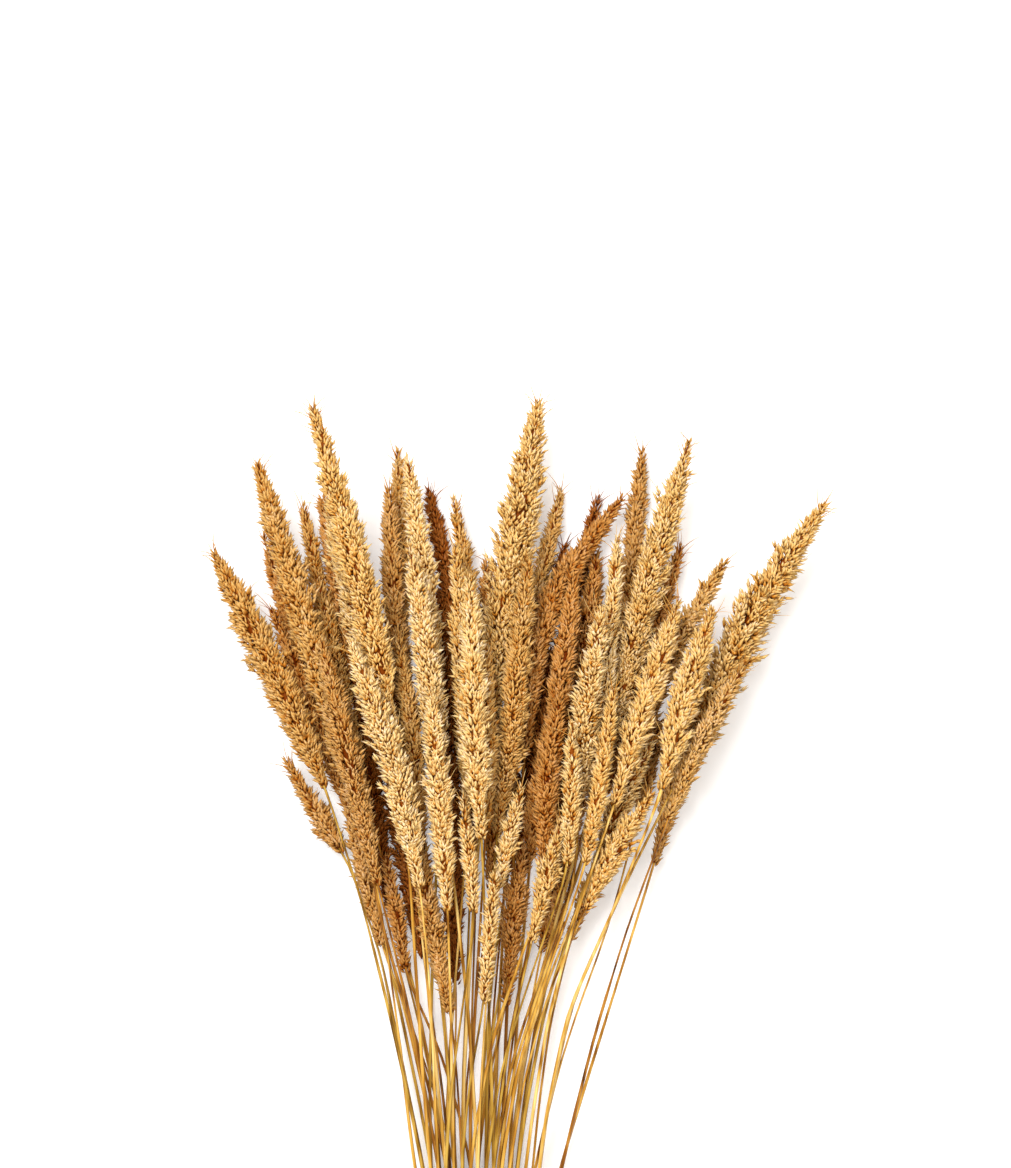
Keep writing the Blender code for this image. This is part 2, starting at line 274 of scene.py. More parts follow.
# Where a line is in x and z at some heights along the bundle.
def lineAt(line, heights):
    return np.column_stack([np.interp(heights, line[:, 1], line[:, k]) for k in (0, 2)])


# How far a stalk's points stand out from its line at each cut of its head.
def reachAlong(points, line, foot):
    away = np.hypot(*(points[:, ::2] - lineAt(line, points[:, 1])).T)
    band = np.round((points[:, 1] - line[0, 1]) / reading["step"]).astype(int)
    reach = np.array([away[band == k].max(initial=0) for k in range(foot, len(line))])
    reach = smoothed(closed(reach, reading["window"]), reading["reachSmoothing"])
    return tapered(reach, line[foot:, 1])


# A stalk's line, the radius of its stem, the cut where its head begins, and the head's reach.
def readStalk(node):
    triangles = trianglesOf(node)
    points = triangles.reshape(-1, 3)
    low = points[:, 1].min() + reading["firstCut"]
    high = points[:, 1].max()
    heights = np.arange(low, high - reading["tipLeftOut"], reading["step"])
    cuts = [cutAcross(triangles, height) for height in heights]
    middles = np.array([middle for middle, _ in cuts])
    areas = np.array([area for _, area in cuts])
    sides = reading["stemSides"]
    radii = np.sqrt(areas / (sides / 2 * math.sin(2 * math.pi / sides)))
    neck = np.median(radii[: len(radii) // 3])
    foot = int(np.argmax(radii > neck * reading["headStarts"]))
    line = np.column_stack((middles[:, 0], heights, middles[:, 1]))
    for k in (0, 2):
        line[:, k] = smoothed(line[:, k], reading["smoothing"])
    aim = (line[-1] - line[-1 - reading["tipAim"]]) / reading["tipAim"]
    while line[-1, 1] < high - reading["step"] / 2:
        line = np.vstack((line, line[-1] + aim))
    stem = np.append(radii[:foot], np.full(len(line) - foot, radii[max(foot - 2, 0)]))
    return {"line": line, "stem": stem, "foot": foot, "reach": reachAlong(points, line, foot)}


# Spikelets: slim keeled glumes that grow up from the origin with their keel at +X. The last
# kinds are broader, for the ones deep in a head.
spikeletSizes = {
    "length": 5.0 * mm,
    "plain": ((0.38, 1.0),),  # rings: share of the length, share of the width
    "curved": ((0.24, 0.85), (0.60, 0.78)),
    "ring": ((0.0, 0.5, 0.1), (0.45, -0.28, 0.8), (-0.45, -0.28, 1.0)),  # y, x, place on the map
    "kinds": (  # rings, width, depth, bend outwards, bend aside, how far a second glume opens
        ("curved", 0.92 * mm, 0.66 * mm, -0.50 * mm, 0.15 * mm, 0.0),
        ("curved", 0.80 * mm, 0.60 * mm, 1.30 * mm, -0.25 * mm, 0.0),
        ("plain", 0.78 * mm, 0.62 * mm, 0.15 * mm, 0.35 * mm, 0.24),
        ("plain", 0.72 * mm, 0.58 * mm, -0.60 * mm, -0.40 * mm, 0.30),
        ("plain", 0.66 * mm, 0.54 * mm, 0.55 * mm, 0.00 * mm, 0.38),
        ("plain", 0.98 * mm, 0.70 * mm, 0.80 * mm, 0.20 * mm, 0.0),
    ),
    "deepKinds": (
        ("plain", 0.95 * mm, 0.80 * mm, 0.20 * mm, 0.20 * mm, 0.0),
        ("plain", 0.80 * mm, 0.70 * mm, -0.20 * mm, -0.30 * mm, 0.0),
    ),
}


def newMesh():
    mesh = bmesh.new()
    mesh.verts.layers.float.new("along")
    mesh.verts.layers.float.new("across")
    return mesh


def addSpot(mesh, place, along, across):
    spot = mesh.verts.new(place)
    spot[mesh.verts.layers.float["along"]] = along
    spot[mesh.verts.layers.float["across"]] = across
    return spot


def bridge(mesh, lower, upper):
    for k in range(len(lower)):
        n = (k + 1) % len(lower)
        mesh.faces.new((lower[k], lower[n], upper[n], upper[k]))


def addGlume(mesh, shape, turn):
    rows, width, depth, outwards, aside, _ = shape
    length = spikeletSizes["length"]

    def place(share, x, y, across):
        x += outwards * share ** 2
        y += aside * share ** 2 + share * length * math.sin(turn)
        return addSpot(mesh, (x, y, share * length * math.cos(turn)), share, across)

    root = place(0.0, 0, 0, 0.5)
    rings = []
    for share, wide in spikeletSizes[rows]:
        ring = []
        for y, x, across in spikeletSizes["ring"]:
            ring.append(place(share, x * 2 * depth * wide, y * 2 * width * wide, across))
        rings.append(ring)
    point = place(1.0, 0, 0, 0.5)
    for k in range(3):
        n = (k + 1) % 3
        mesh.faces.new((root, rings[0][n], rings[0][k]))
        for lower, upper in zip(rings, rings[1:]):
            mesh.faces.new((lower[k], lower[n], upper[n], upper[k]))
        mesh.faces.new((rings[-1][k], rings[-1][n], point))


def shelve(shelf, name, mesh):
    bmesh.ops.triangulate(mesh, faces=mesh.faces[:])
    bmesh.ops.recalc_face_normals(mesh, faces=mesh.faces[:])
    data = bpy.data.meshes.new(name)
    mesh.to_mesh(data)
    mesh.free()
    shelf.objects.link(bpy.data.objects.new(name, data))


# The shelf is read in the order of the names, so the deep kinds come last.
def makeSpikelets():
    shelf = bpy.data.collections.new("spikelets")
    for number, shape in enumerate(spikeletSizes["kinds"] + spikeletSizes["deepKinds"]):
        mesh = newMesh()
        opening = shape[-1]
        for side in (-1, 1) if opening else (0,):
            addGlume(mesh, shape, side * opening)
        shelve(shelf, f"spikelet{number}", mesh)
    return shelf


# Fine hairs that stand out of a head, bent like a blade.
hairSizes = {
    "length": 10 * mm,
    "width": 0.42 * mm,
    "taper": 0.7,
    "bends": (2.0 * mm, -1.6 * mm, 3.6 * mm),
    "steps": 5,
}


def makeHairs():
    shelf = bpy.data.collections.new("hairs")
    length = hairSizes["length"]
    for number, bend in enumerate(hairSizes["bends"]):
        mesh = newMesh()
        rings = []
        for step in range(hairSizes["steps"]):
            share = step / hairSizes["steps"]
            wide = hairSizes["width"] / 2 * (1 - share * hairSizes["taper"])
            ring = []
            for k in range(3):
                angle = 2 * math.pi * k / 3
                x = bend * share ** 2 + wide * math.cos(angle)
                ring.append(addSpot(mesh, (x, wide * math.sin(angle), share * length), share, k / 2))
            rings.append(ring)
        mesh.faces.new(rings[0])
        for lower, upper in zip(rings, rings[1:]):
            bridge(mesh, lower, upper)
        point = addSpot(mesh, (bend, 0, length), 1.0, 0.5)
        for k in range(3):
            mesh.faces.new((rings[-1][k], rings[-1][(k + 1) % 3], point))
        shelve(shelf, f"hair{number}", mesh)
    return shelf


# How the heads are grown. What differs from stalk to stalk is in stalkTraits.
headSettings = {
    "spikeletsOnABranch": 7,
    "spikeletArea": 3.05 * mm * mm,  # the surface of a head that one spikelet takes up
    "goldenAngle": math.pi * (3 - math.sqrt(5)),
    "gather": 0.5,  # how far a parted head turns its branches towards its sides, in radians
    "dip": 0.10,  # how much shorter the branches on the top of a parted head are
    "reachShare": 0.94,  # how far the branches go, as a share of the frame's scales
    "lumpScale": 72.0,
    "lumpDetail": 2.0,
    "lumpShift": 0.37,  # sets the lumps of one stalk apart from the next one's
    "strayPower": 4.0,  # the higher it is, the fewer branches stray far
    "bareShare": 0.05,  # branches that never grew
    "pointsOut": 3.5 * mm,  # how far spikelets stand out of where they root
    "deepest": 0.60,  # how far inwards the lowest spikelet on a branch roots
    "deepOnes": 0.32,  # the share of a branch, from its root, that has the broad kinds
    "branchRun": 8.0 * mm,
    "besides": 0.8 * mm,
    "sideAtEnd": 0.30,  # how far the spikelets at the end of a branch keep to their side
    "lean": 0.44,  # how far spikelets lean away from the stem, in radians
    "endLean": 0.36,  # how much further the last spikelet on a branch leans
    "endPower": 6.0,
    "fan": 0.34,  # how far spikelets point to their own side
    "slimPower": 0.4,
    "slimLength": 0.35,  # how much shorter they get where the head is slim
    "slimWidth": 0.5,
    # Painted shade: a spikelet is paler the further out on its branch it roots, so the deep ones are
    # darker, and it is paler where its lump stands out and darker in the hollows between lumps.
    "deepShadeTone": 0.36,
    "lumpShadeTone": 0.8,
    "tones": (0.05, 0.98),
    "coreShare": 0.30,
    "coreRings": 26,
    "coreSides": 8,
    # Painted shade: the core takes the darkest tone, standing for the shade deep inside the head.
    "coreShadeTone": 0.05,
    "coreAlong": 0.12,  # the place on the map, from root to point, whose colour the core has
    "hairTone": 0.35,
    "tipFrom": 0.5,  # the upper half of a head, where it is slimmer than this, is its tip
    "tipHairs": 0.34,  # how many more branches have a hair there
    "tipHairGrowth": 0.35,  # and how much longer it is
    "floorSoftness": 1.2 * mm,
    "floorBand": 6,  # what is lower than this many times the softness is lifted
}
# What is drawn at random: from, to, and a number that keeps the draws apart.
branchDraws = {
    "amount": (-0.4, 0.4, 1),
    "swing": (-0.75, 0.75, 2),
    "branchReach": (-0.13, 0.08, 3),
    "stray": (0.0, 1.0, 4),
    "branchTone": (-0.22, 0.22, 13),
    "hair": (0.0, 1.0, 14),
    "bare": (0.0, 1.0, 19),
    "branchLean": (-0.22, 0.22, 20),
    "branchAway": (-0.38, 0.38, 21),
}
ownDraws = {
    "place": (0.2, 0.9, 5),
    "drift": (-0.7, 0.7, 6),
    "lean": (-0.16, 0.18, 7),
    "away": (-0.18, 0.18, 8),
    "roll": (-1.0, 1.0, 9),
    "size": (0.74, 1.20, 10),
    "tone": (-0.16, 0.16, 12),
    "hairLean": (0.15, 0.95, 15),
    "hairSize": (0.6, 1.2, 17),
}
kindDraws = {"fine": 11, "hair": 16, "deep": 18}
stemSettings = {
    "sides": 7,
    "rings": 46,
    "runsOn": 6,  # how many cuts it goes on into the head
    "pithShare": 0.55,  # the pith at the cut end, against the stem's radius
    "pithSides": 6,
    "pithDepth": 0.004,  # as a share of the stem's length
    "pithProud": 0.12 * mm,
    "bare": (0.66, 0.92),  # how thick a stem is against the frame's, above its leaf sheath
    "sheathed": (1.00, 1.12),  # and where the sheath is wrapped round it
    "sheathEnds": (40 * mm, 150 * mm),  # how far below the head the sheath ends
    "sheathMouth": 5 * mm,
}
mapping = {
    "stemStrip": 0.081,  # the strip of the map that the stem takes
    "toneFrom": 0.11,
    "toneSpan": 0.82,
    "acrossSpan": 0.06,
}


def seeded(bench, offset):
    return bench.plus(bench.given["Seed"], float(offset))


# A random value, one for each branch or one for each spikelet or hair.
def drawn(bench, name):
    low, high, offset = {**branchDraws, **ownDraws}[name]
    plugs = {2: low, 3: high, "Seed": seeded(bench, offset)}
    if name in branchDraws:
        plugs["ID"] = bench.named("branch", "INT")
    return bench.add("FunctionNodeRandomValue", {"data_type": "FLOAT"}, plugs).outputs[1]


def drawnKind(bench, name, first, count):
    plugs = {4: first, 5: first + count - 1, "Seed": seeded(bench, kindDraws[name])}
    return bench.add("FunctionNodeRandomValue", {"data_type": "INT"}, plugs).outputs[2]


# The head's reach here against its widest reach.
def fullnessOf(bench):
    return bench.math("DIVIDE", bench.named("reach"), bench.given["Full reach"])


# Three ways at a branch: along the head, out of it, and across both.
def waysOf(bench):
    tangent = bench.named("heading", "FLOAT_VECTOR")
    outward = bench.named("outward", "FLOAT_VECTOR")
    return tangent, outward, bench.vector("CROSS_PRODUCT", tangent, outward)


def turnedTo(bench, heading, outward):
    settings = {"primary_axis": "Z", "secondary_axis": "X"}
    return bench.add("FunctionNodeAxesToRotation", settings, {0: heading, 1: outward}).outputs[0]


def curveFrom(bench, geometry, count):
    curve = bench.add("GeometryNodeMeshToCurve", {}, {"Mesh": geometry}).outputs["Curve"]
    even = bench.add("GeometryNodeResampleCurve", {}, {"Curve": curve, "Count": count})
    return even.outputs["Curve"]


# A tube along a curve, with its place along and round it for the map.
def tubeOn(bench, curve, radius, sides, tone):
    factor = bench.add("GeometryNodeSplineParameter").outputs["Factor"]
    curve = bench.store(curve, "along", factor)
    curve = bench.store(curve, "tone", tone)
    curve = bench.add("GeometryNodeSetCurveRadius", {}, {"Curve": curve, "Radius": radius})
    circle = bench.add("GeometryNodeCurvePrimitiveCircle", {}, {"Resolution": sides, "Radius": 1.0})
    plugs = {
        "Curve": curve.outputs["Curve"], "Fill Caps": True,
        "Profile Curve": bench.store(circle.outputs["Curve"], "across", factor),
        "Scale": bench.add("GeometryNodeInputRadius").outputs[0],
    }
    return bench.add("GeometryNodeCurveToMesh", {}, plugs).outputs["Mesh"]


# One piece from a shelf on each point, as plain mesh, with its tone.
def grownOn(bench, shelf, tone, plugs):
    settings = {"transform_space": "ORIGINAL"}
    shelfPlugs = {"Collection": shelf, "Separate Children": True, "Reset Children": True}
    pieces = bench.add("GeometryNodeCollectionInfo", settings, shelfPlugs).outputs["Instances"]
    plugs = {"Instance": pieces, "Pick Instance": True, **plugs}
    placed = bench.add("GeometryNodeInstanceOnPoints", {}, plugs).outputs["Instances"]
    placed = bench.store(placed, "tone", tone, domain="INSTANCE")
    return bench.changed("GeometryNodeRealizeInstances", placed)


# Branches root along the head, turned by the golden angle. A parted head has them gathered at
# its two sides, like a plait.
def rootBranches(bench, head):
    line = curveFrom(bench, head, bench.given["Branches"])
    node = bench.add("GeometryNodeCurveToPoints", {"mode": "EVALUATED"}, {"Curve": line})
    points = bench.store(node.outputs["Points"], "heading", node.outputs["Tangent"], "FLOAT_VECTOR")
    points = bench.store(points, "branch", bench.add("GeometryNodeInputIndex").outputs[0])
    tangent = bench.named("heading", "FLOAT_VECTOR")
    aside = bench.vector("NORMALIZE", bench.vector("CROSS_PRODUCT", tangent, (0, 0, 1)))
    upright = bench.vector("CROSS_PRODUCT", aside, tangent)
    turn = headSettings["goldenAngle"]
    angle = bench.timesPlus(bench.named("branch"), turn, drawn(bench, "swing"))
    gather = bench.times(bench.given["Parting"], -headSettings["gather"])
    gather = bench.times(bench.math("SINE", bench.times(angle, 2.0)), gather)
    angle = bench.plus(angle, gather)
    upShare = bench.math("SINE", angle)
    outward = bench.mixed((aside, bench.math("COSINE", angle)), (upright, upShare))
    return bench.store(points, "outward", outward, "FLOAT_VECTOR"), upShare


# Each branch is long or short by its place in a lump, and a few stray past the rest. It has
# fewer spikelets where the head is slim.
def measureBranches(bench, points, upShare):
    given = bench.given
    reach = bench.named("reach")
    spot = bench.scaled(bench.named("outward", "FLOAT_VECTOR"), reach)
    plugs = {
        "Vector": bench.vector("ADD", bench.position(), spot),
        "W": bench.times(given["Seed"], headSettings["lumpShift"]),
        "Scale": headSettings["lumpScale"], "Detail": headSettings["lumpDetail"],
    }
    lump = bench.add("ShaderNodeTexNoise", {"noise_dimensions": "4D"}, plugs).outputs["Fac"]
    lump = bench.times(bench.math("SUBTRACT", lump, 0.5), given["Lumps"])
    more = bench.plus(drawn(bench, "branchReach"), lump)
    stray = bench.math("POWER", drawn(bench, "stray"), headSettings["strayPower"])
    more = bench.timesPlus(stray, given["Shag"], more)
    dip = bench.times(bench.times(upShare, upShare), given["Parting"])
    more = bench.timesPlus(dip, -headSettings["dip"], more)
    own = bench.times(reach, bench.plus(more, headSettings["reachShare"]))
    root = bench.math("SUBTRACT", own, given["Points out"])
    root = bench.math("MAXIMUM", root, bench.times(reach, headSettings["coreShare"]))
    points = bench.store(points, "rootReach", root)
    points = bench.store(points, "lump", lump)
    amount = bench.times(given["Spikelets on a branch"], fullnessOf(bench))
    amount = bench.plus(amount, drawn(bench, "amount"))
    amount = bench.math("MAXIMUM", bench.math("ROUND", amount), 1.0)
    grew = bench.compared("GREATER_THAN", drawn(bench, "bare"), headSettings["bareShare"])
    return bench.store(points, "amount", bench.times(amount, grew))


# Where the spikelets on a branch root, from the lowest and deepest to the one at its end. They
# stand on its two sides in turn.
def rootSpikelets(bench, branches):
    amount = bench.named("amount")
    plugs = {"Geometry": branches, "Amount": amount}
    copies = bench.add("GeometryNodeDuplicateElements", {"domain": "POINT"}, plugs)
    place = copies.outputs["Duplicate Index"]
    share = bench.math("DIVIDE", bench.plus(place, drawn(bench, "place")), amount)
    points = bench.store(copies.outputs["Geometry"], "share", share)
    inner = bench.math("SUBTRACT", 1.0, bench.named("share"))
    side = bench.timesPlus(bench.math("MODULO", place, 2.0), 2.0, -1.0)
    side = bench.times(side, bench.plus(inner, headSettings["sideAtEnd"]))
    points = bench.store(points, "side", side)
    depth = bench.timesPlus(inner, -headSettings["deepest"], 1.0)
    out = bench.times(bench.named("rootReach"), depth)
    run = bench.times(inner, fullnessOf(bench))
    run = bench.times(bench.given["Branch run"], run)
    drift = bench.plus(bench.named("side"), drawn(bench, "drift"))
    drift = bench.times(drift, bench.given["Besides"])
    tangent, outward, across = waysOf(bench)
    back = bench.times(run, -1.0)
    offset = bench.mixed((outward, out), (tangent, back), (across, drift))
    return bench.changed("GeometryNodeSetPosition", points, {"Offset": offset})


# Which way each spikelet points: it leans out, most of all at the end of its branch.
def turnSpikelets(bench, slim):
    lean = bench.plus(bench.given["Lean"], drawn(bench, "lean"))
    lean = bench.plus(lean, drawn(bench, "branchLean"))
    atEnd = bench.math("POWER", bench.named("share"), headSettings["endPower"])
    lean = bench.timesPlus(atEnd, headSettings["endLean"], lean)
    lean = bench.times(lean, slim)
    fan = headSettings["fan"]
    away = bench.timesPlus(bench.named("side"), fan, drawn(bench, "away"))
    away = bench.plus(away, drawn(bench, "branchAway"))
    tangent, outward, across = waysOf(bench)
    along = bench.math("COSINE", lean)
    heading = bench.mixed((tangent, along), (outward, bench.math("SINE", lean)), (across, away))
    plugs = {"Axis": (0, 0, 1), "Angle": drawn(bench, "roll")}
    spin = bench.add("FunctionNodeAxisAngleToRotation", {}, plugs).outputs[0]
    plugs = {0: turnedTo(bench, heading, outward), 1: spin}
    return bench.add("FunctionNodeRotateRotation", {"rotation_space": "LOCAL"}, plugs).outputs[0]


# How large each spikelet is: shorter and much slimmer where the head is slim.
def sizeSpikelets(bench, slim):
    shorter, slimmer = (
        bench.timesPlus(slim, headSettings[name], 1 - headSettings[name])
        for name in ("slimLength", "slimWidth")
    )
    size = bench.times(drawn(bench, "size"), bench.given["Size"])
    size = bench.times(size, shorter)
    wide = bench.times(size, bench.given["Plumpness"])
    wide = bench.times(wide, slimmer)
    return bench.combined(wide, wide, size)


def growSpikelets(bench, branches, shelf):
    slim = bench.math("POWER", fullnessOf(bench), headSettings["slimPower"])
    fine = len(spikeletSizes["kinds"])
    plugs = {
        "Switch": bench.compared("LESS_THAN", bench.named("share"), headSettings["deepOnes"]),
        "False": drawnKind(bench, "fine", 0, fine),
        "True": drawnKind(bench, "deep", fine, len(spikeletSizes["deepKinds"])),
    }
    kind = bench.add("GeometryNodeSwitch", {"input_type": "INT"}, plugs).outputs[0]
    # Its tone: the stalk's paleness and random draws, with painted shade that makes it darker deep on its
    # branch and in the hollows between lumps.
    tone = bench.plus(bench.given["Paleness"], drawn(bench, "tone"))
    tone = bench.plus(tone, drawn(bench, "branchTone"))
    tone = bench.timesPlus(bench.named("share"), headSettings["deepShadeTone"], tone)
    tone = bench.timesPlus(bench.named("lump"), headSettings["lumpShadeTone"], tone)
    least, most = headSettings["tones"]
    tone = bench.math("MINIMUM", bench.math("MAXIMUM", tone, least), most)
    return grownOn(bench, shelf, tone, {
        "Points": rootSpikelets(bench, branches),
        "Instance Index": kind,
        "Rotation": turnSpikelets(bench, slim),
        "Scale": sizeSpikelets(bench, slim),
    })


# A few fine hairs, rooted where the branches end, more of them at the tip.
def growHairs(bench, branches, shelf):
    half = bench.times(bench.given["Branches"], headSettings["tipFrom"])
    upper = bench.compared("GREATER_THAN", bench.named("branch"), half)
    slim = bench.compared("LESS_THAN", fullnessOf(bench), headSettings["tipFrom"])
    atTip = bench.times(upper, slim)
    few = bench.timesPlus(atTip, headSettings["tipHairs"], bench.given["Hair share"])
    growth = headSettings["tipHairGrowth"]
    tangent, outward, _ = waysOf(bench)
    root = bench.scaled(outward, bench.named("rootReach"))
    lean = drawn(bench, "hairLean")
    along = bench.math("COSINE", lean)
    heading = bench.mixed((tangent, along), (outward, bench.math("SINE", lean)))
    return grownOn(bench, shelf, headSettings["hairTone"], {
        "Points": bench.changed("GeometryNodeSetPosition", branches, {"Offset": root}),
        "Selection": bench.compared("LESS_THAN", drawn(bench, "hair"), few),
        "Instance Index": drawnKind(bench, "hair", 0, len(shelf.objects)),
        "Rotation": turnedTo(bench, heading, outward),
        "Scale": bench.timesPlus(atTip, growth, drawn(bench, "hairSize")),
    })


# The core: a tube down the middle of the head, painted in the darkest tone as the shade deep inside it.
def growCore(bench, head):
    line = curveFrom(bench, head, headSettings["coreRings"])
    radius = bench.times(bench.named("reach"), headSettings["coreShare"])
    core = tubeOn(bench, line, radius, headSettings["coreSides"], headSettings["coreShadeTone"])
    return bench.store(core, "along", headSettings["coreAlong"])


# Whatever would sink into the floor eases off above it.
def easeOffFloor(bench, bulk):
    softness = headSettings["floorSoftness"]
    x, y, z = bench.add("ShaderNodeSeparateXYZ", {}, {0: bench.position()}).outputs
    lifted = bench.plus(bench.math("EXPONENT", bench.math("DIVIDE", z, softness)), 1.0)
    lifted = bench.times(bench.math("LOGARITHM", lifted, math.e), softness)
    near = bench.compared("LESS_THAN", z, headSettings["floorBand"] * softness)
    plugs = {"Position": bench.combined(x, y, lifted), "Selection": near}
    return bench.changed("GeometryNodeSetPosition", bulk, plugs)


def dressed(bench, part, u, material):
    place = bench.combined(u, bench.named("along"))
    part = bench.store(part, uvName, place, "FLOAT2", "CORNER")
    return bench.changed("GeometryNodeSetMaterial", part, {"Material": bench.given[material]})


def growHead(bench, head, spikelets, hairs):
    branches = measureBranches(bench, *rootBranches(bench, head))
    seeds = growSpikelets(bench, branches, spikelets)
    bulk = bench.joined((seeds, growHairs(bench, branches, hairs), growCore(bench, head)))
    u = bench.timesPlus(bench.named("tone"), mapping["toneSpan"], mapping["toneFrom"])
    u = bench.timesPlus(bench.named("across"), mapping["acrossSpan"], u)
    return dressed(bench, easeOffFloor(bench, bulk), u, "Head straw")


# The stem, and the darker pith that shows at its cut end.
def growStem(bench, strand):
    line = curveFrom(bench, strand, stemSettings["rings"])
    radius = bench.named("stem")
    tube = tubeOn(bench, line, radius, stemSettings["sides"], 0.0)
    plugs = {"Curve": line, 2: 0.0, 3: stemSettings["pithDepth"]}
    pith = bench.add("GeometryNodeTrimCurve", {"mode": "FACTOR"}, plugs).outputs["Curve"]
    radius = bench.times(radius, stemSettings["pithShare"])
    pith = tubeOn(bench, pith, radius, stemSettings["pithSides"], 0.0)
    plugs = {"Offset": (0, -stemSettings["pithProud"], 0)}
    pith = bench.changed("GeometryNodeSetPosition", pith, plugs)
    u = bench.times(bench.named("across"), mapping["stemStrip"])
    return dressed(bench, tube, u, "Stem straw"), dressed(bench, pith, u, "Pith")


def makeStalkTree(spikelets, hairs):
    tree, bench, result = newTree("stalk", [
        ("Branches", "Int"), ("Spikelets on a branch", "Int"), ("Full reach", "Float"),
        ("Points out", "Float"), ("Branch run", "Float"), ("Besides", "Float"), ("Lean", "Float"),
        ("Shag", "Float"), ("Parting", "Float"), ("Lumps", "Float"), ("Hair share", "Float"),
        ("Paleness", "Float"), ("Size", "Float"), ("Plumpness", "Float"), ("Seed", "Int"),
        ("Head straw", "Material"), ("Stem straw", "Material"), ("Pith", "Material"),
    ])
    plugs = {"Geometry": bench.given["Geometry"], "Selection": bench.named("isHead")}
    split = bench.add("GeometryNodeSeparateGeometry", {"domain": "POINT"}, plugs).outputs
    head = growHead(bench, split["Selection"], spikelets, hairs)
    whole = bench.joined((head, *growStem(bench, split["Inverted"])))
    whole = bench.changed("GeometryNodeSetShadeSmooth", whole, {"Shade Smooth": True})
    bench.plug(result, {"Geometry": whole})
    return tree


# Six more stalks lie low in the bunch, where they show between the others. They take the
# hollows left inside the tie, then run between two neighbours to where their own head lies.
# Heads are given as in the photo's plan: from the tie's axis, and up from the photo's foot.
lowStalks = {
    "tieReach": 10.25 * mm,
    "tieHold": 2 * mm,  # how far above the tie they run straight on
    "leaveTie": 150 * mm,  # the length over which they come between their neighbours
    "joinHead": 130 * mm,
    "stemRadius": 0.72 * mm,
    "level": 7 * mm,  # the height of their heads' axes
    "outline": ((0.0, 0.30), (0.06, 0.60), (0.2, 0.88), (0.45, 1.0), (0.8, 0.88), (1.0, 0.35)),
    # The low heads' dark and brown slots are partly their own straw colour and partly painted shade deep
    # in the bunch.
    "heads": {  # slot, tip, middle, foot, width, hollow in degrees, neighbours
        60: ("straw_brown", (-84.5, 336.5), (-79, 299), (-69, 239), 10, 210, (9, 12)),
        61: ("straw_dark", (-24, 289), (-21, 200), (-16.5, 90), 17, 150, (18, 14)),
        62: ("straw_dark", (-52, 228), (-42, 168), (-32.5, 102), 19, 90, (9, 14)),
        63: ("straw_brown", (52, 210), (40, 165), (27, 106), 15, 330, (43, 54)),
        64: ("straw_tan", (56, 310), (56, 284), (48.5, 234), 9, 30, (44, 47)),
        65: ("straw_tan", (86, 226), (83, 203), (76, 176), 12, 270, (54, 58)),
    },
}


def eased(value, low, high):
    share = np.clip((value - low) / (high - low), 0, 1)
    return share * share * (3 - 2 * share)


def lowStalk(shape, stalks):
    tip, middle, foot, width, hollow, beside = shape
    low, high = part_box("tie")
    axis = (low + high) / 2
    knots = np.array([foot, middle, tip]) * mm + (axis.x, cadLow.y + photo["foot"])
    start = knots[0, 1]
    end = knots[2, 1]
    heights = np.arange(cadLow.y + reading["firstCut"], end, reading["step"])
    rises = np.diff(knots, axis=0)
    lower, upper = rises[:, 0] / rises[:, 1]
    turn = np.clip((heights - start) / (end - start), 0, 1)
    headX = knots[0, 0] + (heights - start) * (lower + (upper - lower) * turn / 2)
    own = np.column_stack((headX, np.full(len(heights), lowStalks["level"])))
    near = [lineAt(stalks[number]["line"], heights) for number in beside]
    between = (near[0] + near[1]) / 2
    angle = math.radians(hollow)
    spot = lowStalks["tieReach"] * np.array((math.cos(angle), math.sin(angle))) + (axis.x, axis.z)
    above = high.y + lowStalks["tieHold"]
    left = eased(heights, above, above + lowStalks["leaveTie"])[:, None]
    joined = eased(heights, start - lowStalks["joinHead"], start)[:, None]
    way = spot * (1 - left) + between * left
    way = way * (1 - joined) + own * joined
    line = np.column_stack((way[:, 0], heights, way[:, 1]))
    first = int(np.searchsorted(heights, start))
    share = (end - heights[first:]) / (end - start)
    reach = width * mm / 2 * np.interp(share, *zip(*lowStalks["outline"]))
    stem = np.full(len(line), lowStalks["stemRadius"])
    return {"line": line, "stem": stem, "foot": first, "reach": reach}


# The leaf sheath wraps the lower part of a stem and ends in a mouth some way below the head.
def sheathe(stalk, draw):
    heights = stalk["line"][:len(stalk["stem"]), 1]
    mouth = heights[stalk["foot"]] - draw.uniform(*stemSettings["sheathEnds"])
    out = eased(heights, mouth - stemSettings["sheathMouth"], mouth + stemSettings["sheathMouth"])
    bare = draw.uniform(*stemSettings["bare"])
    sheathed = draw.uniform(*stemSettings["sheathed"])
    stalk["stem"] = stalk["stem"] * (sheathed + (bare - sheathed) * out)


# Two strands for the tree: the stem's line, then the head's line with how far the head reaches.
# With them, the surface of the head, and its middle reach against the widest.
def strandsOf(stalk):
    foot = stalk["foot"]
    reach = stalk["reach"]
    stemLine = stalk["line"][: foot + stemSettings["runsOn"]]
    headLine = stalk["line"][foot:]
    start = len(stemLine)
    edges = [(k, k + 1) for k in range(start + len(headLine) - 1) if k != start - 1]
    mesh = bpy.data.meshes.new("strands")
    mesh.from_pydata([tuple(spot) for spot in np.vstack((stemLine, headLine))], edges, [])
    columns = {
        "isHead": np.append(np.zeros(start), np.ones(len(headLine))),
        "reach": np.append(np.zeros(start), reach),
        "stem": np.append(stalk["stem"][:start], np.full(len(headLine), stalk["stem"][foot])),
    }
    for name, values in columns.items():
        column = mesh.attributes.new(name, "FLOAT", "POINT")
        column.data.foreach_set("value", values.astype(np.float32))
    gone = np.linalg.norm(np.diff(headLine, axis=0), axis=1)
    fullness = np.average((reach[:-1] + reach[1:]) / 2, weights=gone) / reach.max()
    area = (math.pi * (reach[:-1] + reach[1:]) * gone).sum()
    return mesh, area, fullness


